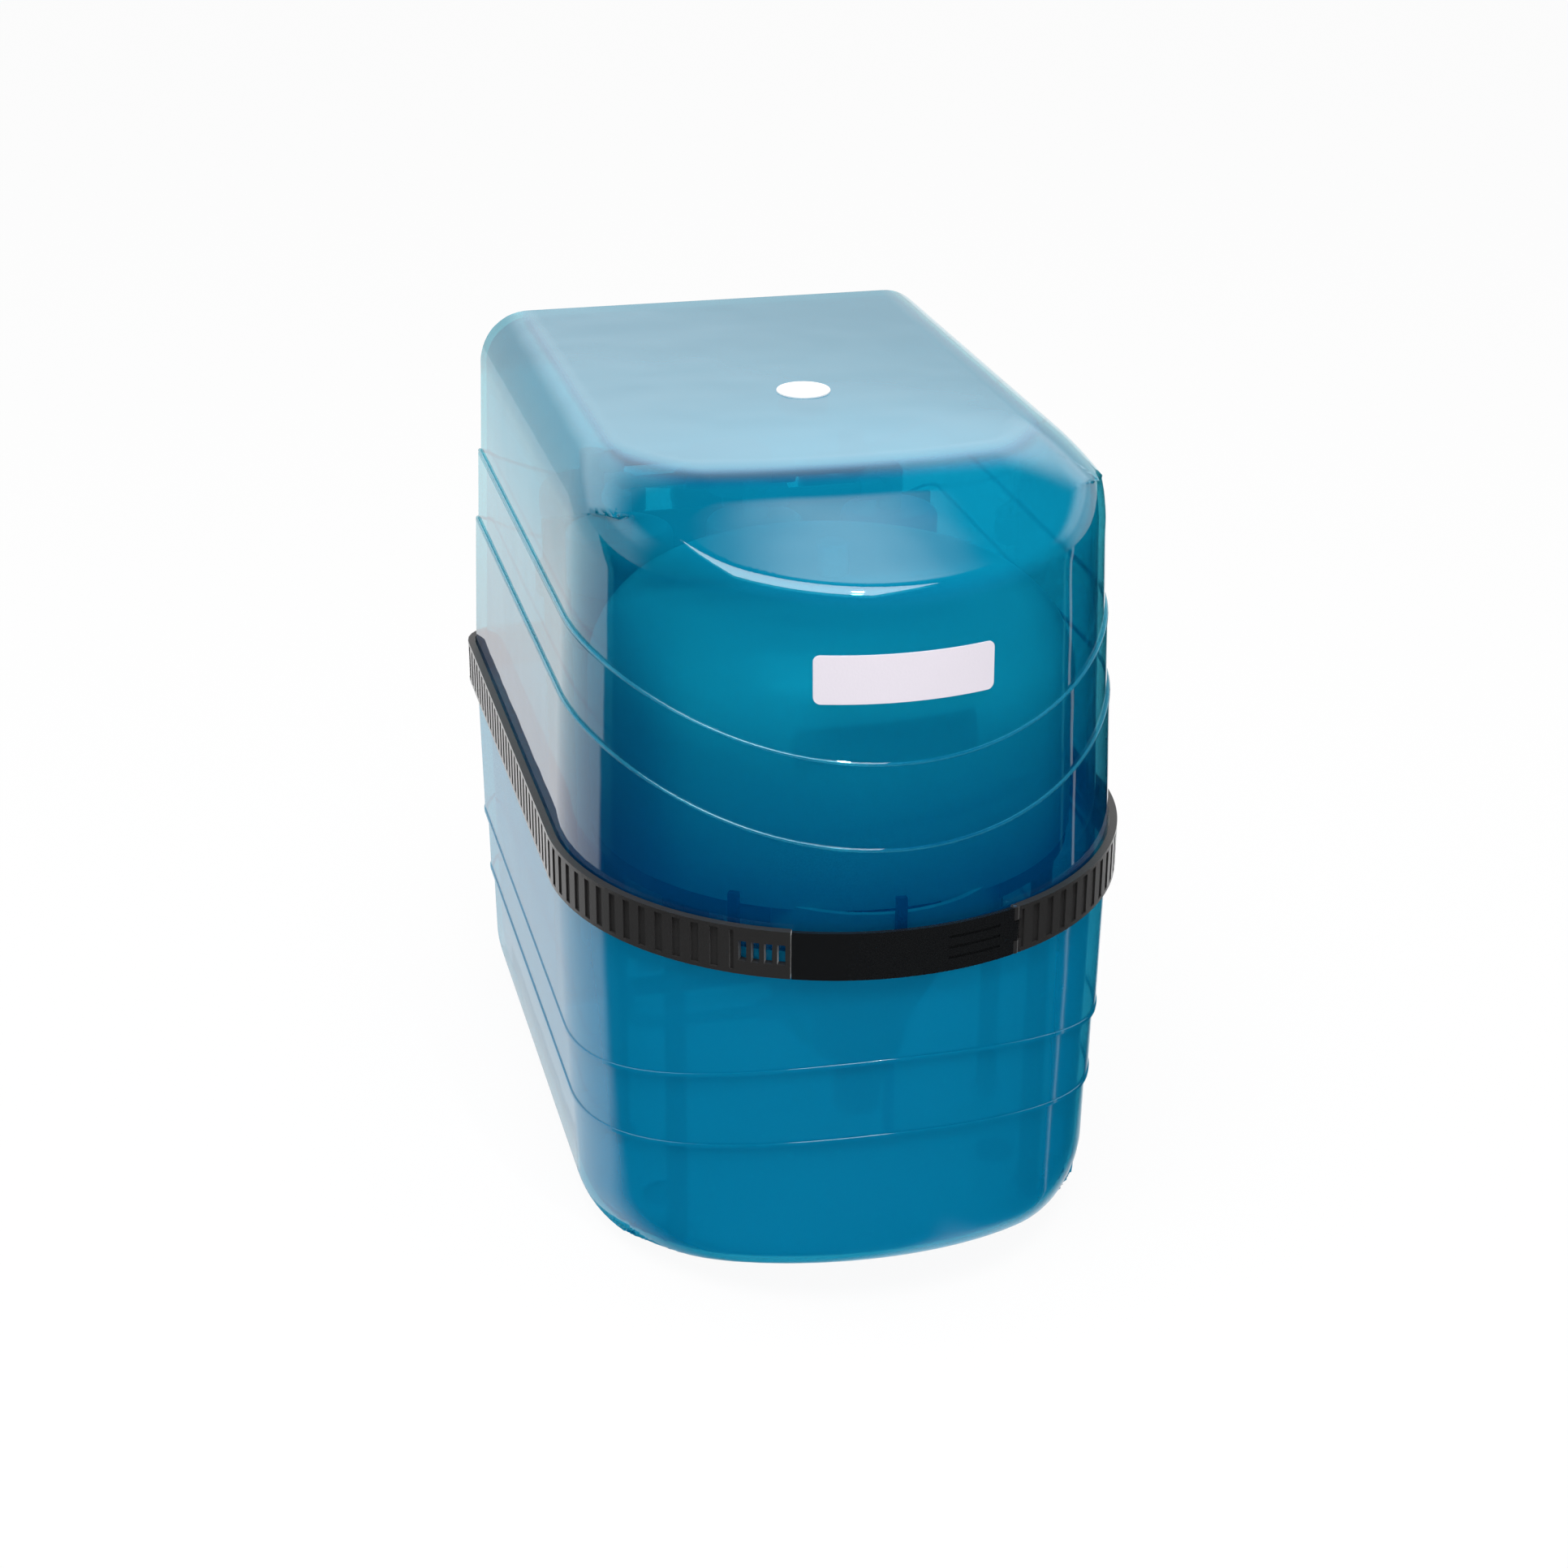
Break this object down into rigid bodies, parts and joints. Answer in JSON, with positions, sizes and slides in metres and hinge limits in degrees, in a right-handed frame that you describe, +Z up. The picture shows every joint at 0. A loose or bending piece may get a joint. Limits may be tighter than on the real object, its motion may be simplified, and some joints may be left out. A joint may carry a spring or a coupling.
{
  "type": "reverse osmosis system",
  "caption": "Closed-case reverse osmosis water unit: translucent cover and base held by a strap, round pressure tank in front, filter cylinders and push-fit ports behind.",
  "frame": {"origin": "on the floor under the middle of the unit's outline", "axes": "+X to the unit's right seen from behind the front, +Y to the rear where the tube ports are, +Z up"},
  "size_m": [0.27, 0.418, 0.3762],
  "materials": {
    "teal_cover": "translucent blue-green, polished",
    "teal_base": "translucent blue-green, slightly milky",
    "label_plate": "pale silver, smooth",
    "white_plug": "white, smooth",
    "dark_peg": "dark blue",
    "black_rubber": "black, matt",
    "grey_rubber": "dark grey, matt",
    "black_strap": "black, ribbed",
    "black_buckle": "black, smooth",
    "black_plastic": "black",
    "pale_cap": "white",
    "steel_pin": "bright steel",
    "tank_white": "white, smooth",
    "grey_plastic": "dark grey, fine grain",
    "brass_valve": "turned brass",
    "valve_ball": "white, polished",
    "blue_lever": "blue",
    "white_filter": "white, smooth",
    "blue_filter": "blue, smooth",
    "membrane_wrap": "wrapped film",
    "white_fitting": "white",
    "blue_fitting": "blue",
    "red_tube": "red",
    "white_tube": "white",
    "black_tube": "black",
    "blue_tube": "blue",
    "yellow_tube": "yellow",
    "grey_collet": "grey"
  },
  "bodies": {
    "cover": {"upper_cover": "teal_cover", "name_plate": "label_plate"},
    "plug": {"top_plug": "white_plug"},
    "case": {"lower_case": "teal_base", "rim_pegs": "dark_peg", "case_feet": "black_rubber", "case_strap": "black_strap", "buckle_pin": "steel_pin", "tank_upper_shell": "tank_white", "tank_lower_shell": "tank_white", "tank_seal": "black_rubber", "tank_bladder": "grey_rubber", "tank_funnel": "black_plastic", "tank_stand": "grey_plastic", "air_valve": "brass_valve", "tank_valve_body": "grey_plastic", "sediment_filter": "white_filter", "granular_carbon_filter": "white_filter", "block_carbon_filter": "white_filter", "post_carbon_filter": "white_filter", "mineral_filter": "blue_filter", "membrane_housing": "white_filter", "membrane_cap": "white_filter", "membrane_cap_seal": "black_rubber", "membrane_element": "membrane_wrap", "filter_plate": "grey_plastic", "filter_clips": "grey_plastic", "tube_elbows": "white_fitting", "shutoff_body": "white_fitting", "shutoff_diaphragm": "grey_rubber", "shutoff_bonnet": "white_fitting", "shutoff_screws": "steel_pin", "check_valve": "white_fitting", "flow_restrictor": "blue_fitting", "tank_tee": "white_fitting", "feed_tube": "red_tube", "sediment_outlet_tube": "white_tube", "carbon_outlet_tube": "white_tube", "shutoff_inlet_tube": "white_tube", "shutoff_outlet_tube": "white_tube", "reject_tube": "black_tube", "drain_tube": "black_tube", "product_tube": "blue_tube", "permeate_tube": "white_tube", "return_tube": "white_tube", "tank_tube": "yellow_tube", "post_inlet_tube": "white_tube", "post_outlet_tube": "white_tube", "port_bodies": "white_fitting", "port_nuts": "white_fitting", "port_seals": "black_rubber"},
    "buckle": {"strap_buckle": "black_buckle"},
    "air_cap": {"air_valve_cap": "pale_cap"},
    "valve_handle": {"tank_valve_ball": "valve_ball", "tank_valve_lever": "blue_lever"},
    "feed_collet": {"feed_collet": "grey_collet"},
    "drain_collet": {"drain_collet": "grey_collet"},
    "product_collet": {"product_collet": "grey_collet"}
  },
  "joints": [
    {"name": "cover_lift", "type": "slide", "parent": "case", "child": "cover", "axis": [0, 0, 1], "range_m": [0, 0.2]},
    {"name": "plug_pull", "type": "slide", "parent": "cover", "child": "plug", "axis": [0, 0, 1], "range_m": [0, 0.015]},
    {"name": "buckle_swing", "type": "hinge", "parent": "case", "child": "buckle", "pos_m": [0.05146, -0.19713, 0.185], "axis": [0, 0, 1], "range_deg": [0, 95]},
    {"name": "valve_turn", "type": "hinge", "parent": "case", "child": "valve_handle", "pos_m": [0, -0.13, 0.082], "axis": [1, 0, 0], "range_deg": [0, 90]},
    {"name": "air_cap_pull", "type": "slide", "parent": "case", "child": "air_cap", "axis": [0, 0, 1], "range_m": [0, 0.03]},
    {"name": "feed_collet_press", "type": "slide", "parent": "case", "child": "feed_collet", "axis": [0, -1, 0], "range_m": [0, 0.0015]},
    {"name": "drain_collet_press", "type": "slide", "parent": "case", "child": "drain_collet", "axis": [0, -1, 0], "range_m": [0, 0.0015]},
    {"name": "product_collet_press", "type": "slide", "parent": "case", "child": "product_collet", "axis": [0, -1, 0], "range_m": [0, 0.0015]}
  ]
}
